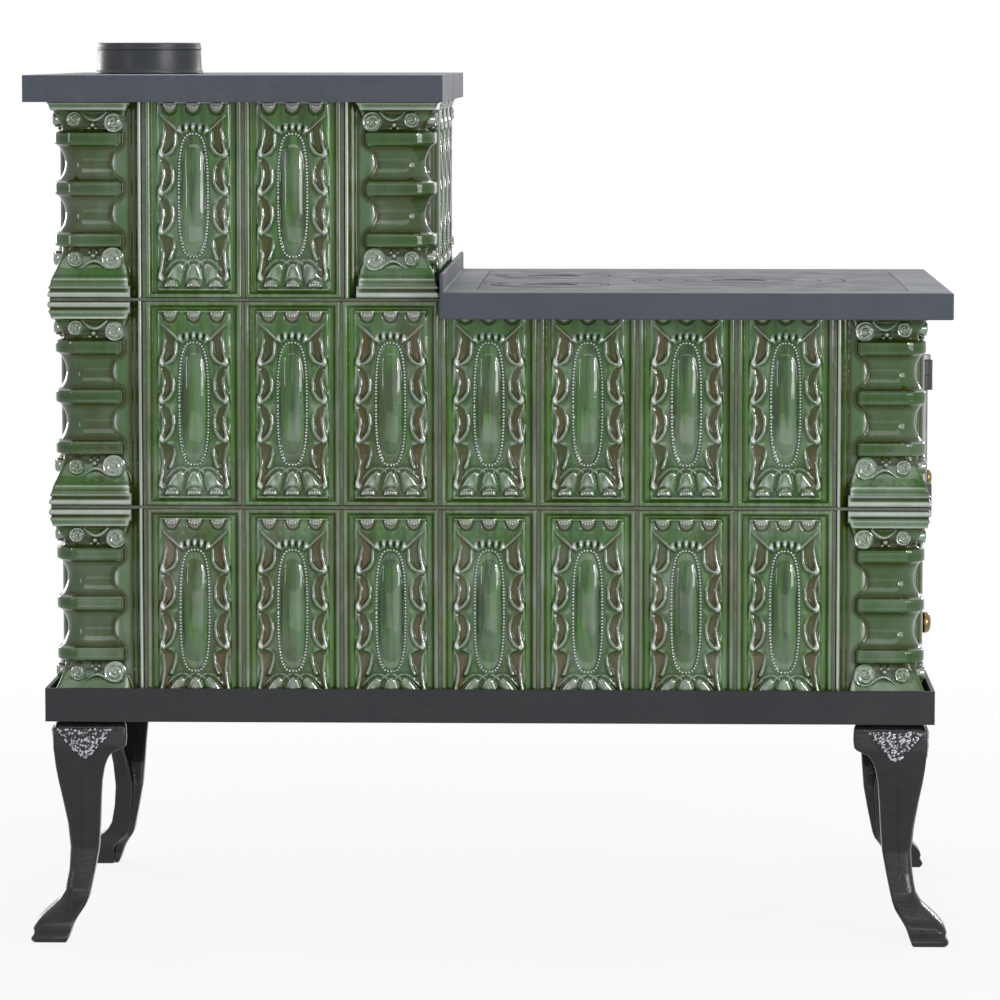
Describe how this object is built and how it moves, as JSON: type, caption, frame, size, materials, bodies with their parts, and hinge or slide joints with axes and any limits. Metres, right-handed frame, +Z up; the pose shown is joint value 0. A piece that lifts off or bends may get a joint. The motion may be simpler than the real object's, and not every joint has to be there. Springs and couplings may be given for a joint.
{
  "type": "tiled cooking stove",
  "caption": "Tiled stove on cabriole legs: hob with lift-off rings, raised tiled flue part, fire door and ash drawer in the end, flue collar on top.",
  "frame": {"origin": "on the floor under the middle of the whole stove's box, feet and plates included", "axes": "+Z up, +X towards the end with the doors, -Y towards the pictured long side"},
  "size_m": [0.987, 0.582, 0.965],
  "materials": {
    "green_glaze": "glossy transparent bottle-green glaze over relief, amber brown where it is thin on edges and ridges",
    "plate_paint": "satin slate-grey stove paint on sheet steel",
    "tray_paint": "satin charcoal stove paint on sheet steel",
    "leg_enamel": "glossy black stove enamel over cast iron",
    "hob_iron": "ground and blackened cast iron",
    "door_iron": "matt black-leaded cast iron",
    "sheet_steel": "bare rolled steel sheet, dulled",
    "plain_steel": "bare steel, dulled",
    "knob_brass": "turned brass, lightly worn",
    "fireclay": "unglazed fireclay"
  },
  "bodies": {
    "stove": {"corner_tile_lower_front_left": "green_glaze", "corner_tile_lower_front_right": "green_glaze", "corner_tile_lower_back_right": "green_glaze", "corner_tile_lower_back_left": "green_glaze", "corner_tile_middle_front_left": "green_glaze", "corner_tile_middle_front_right": "green_glaze", "corner_tile_middle_back_right": "green_glaze", "corner_tile_middle_back_left": "green_glaze", "corner_tile_upper_front_left": "green_glaze", "corner_tile_upper_front_right": "green_glaze", "corner_tile_upper_back_right": "green_glaze", "corner_tile_upper_back_left": "green_glaze", "front_tile_course_lower": "green_glaze", "front_tile_course_middle": "green_glaze", "front_tile_course_upper": "green_glaze", "back_tile_course_lower": "green_glaze", "back_tile_course_middle": "green_glaze", "back_tile_course_upper": "green_glaze", "left_tile_course_lower": "green_glaze", "left_tile_course_middle": "green_glaze", "left_tile_course_upper": "green_glaze", "right_tile_course_upper": "green_glaze", "leg_front_left": "leg_enamel", "leg_front_right": "leg_enamel", "leg_back_right": "leg_enamel", "leg_back_left": "leg_enamel", "leg_bolt_front_left": "plain_steel", "leg_bolt_front_right": "plain_steel", "leg_bolt_back_right": "plain_steel", "leg_bolt_back_left": "plain_steel", "fire_door_hinge_pin": "plain_steel", "hearth_slab": "fireclay", "firebox_lining_front": "fireclay", "firebox_lining_back": "fireclay", "grate_ledge_front": "fireclay", "grate_ledge_back": "fireclay", "firebox_bridge": "fireclay", "door_surround": "fireclay", "partition_wall": "fireclay", "down_draught_baffle": "fireclay", "crown_plate": "plate_paint", "flue_collar": "plate_paint", "hob_frame": "plate_paint", "base_tray": "tray_paint", "hob_plate": "hob_iron", "door_frame": "door_iron", "grate": "door_iron"},
    "fire_door": {"fire_door": "door_iron", "fire_door_heat_shield": "door_iron"},
    "latch": {"latch_lever": "door_iron", "latch_grip": "knob_brass"},
    "ash_drawer": {"ash_drawer_front": "door_iron", "ash_pan": "sheet_steel", "ash_drawer_knob": "knob_brass"},
    "air_slider": {"air_slider": "sheet_steel"},
    "outer_ring": {"burner_ring_outer": "hob_iron"},
    "inner_ring": {"burner_ring_inner": "hob_iron"},
    "big_lid": {"burner_lid": "hob_iron"},
    "front_lid": {"small_lid_front": "hob_iron"},
    "back_lid": {"small_lid_back": "hob_iron"}
  },
  "joints": [
    {"name": "fire_door_hinge", "type": "hinge", "parent": "stove", "child": "fire_door", "pos_m": [0.471, -0.12, 0.536], "axis": [0, 0, -1], "range_deg": [0, 110]},
    {"name": "latch_turn", "type": "hinge", "parent": "fire_door", "child": "latch", "pos_m": [0.4725, 0.084, 0.536], "axis": [1, 0, 0], "range_deg": [0, 90]},
    {"name": "ash_drawer_slide", "type": "slide", "parent": "stove", "child": "ash_drawer", "axis": [1, 0, 0], "range_m": [0, 0.27]},
    {"name": "air_slider_slide", "type": "slide", "parent": "ash_drawer", "child": "air_slider", "axis": [0, 1, 0], "range_m": [0, 0.014]},
    {"name": "outer_ring_lift", "type": "slide", "parent": "stove", "child": "outer_ring", "axis": [0, 0, 1], "range_m": [0, 0.12]},
    {"name": "inner_ring_lift", "type": "slide", "parent": "outer_ring", "child": "inner_ring", "axis": [0, 0, 1], "range_m": [0, 0.12]},
    {"name": "big_lid_lift", "type": "slide", "parent": "inner_ring", "child": "big_lid", "axis": [0, 0, 1], "range_m": [0, 0.12]},
    {"name": "front_lid_lift", "type": "slide", "parent": "stove", "child": "front_lid", "axis": [0, 0, 1], "range_m": [0, 0.12]},
    {"name": "back_lid_lift", "type": "slide", "parent": "stove", "child": "back_lid", "axis": [0, 0, 1], "range_m": [0, 0.12]}
  ]
}
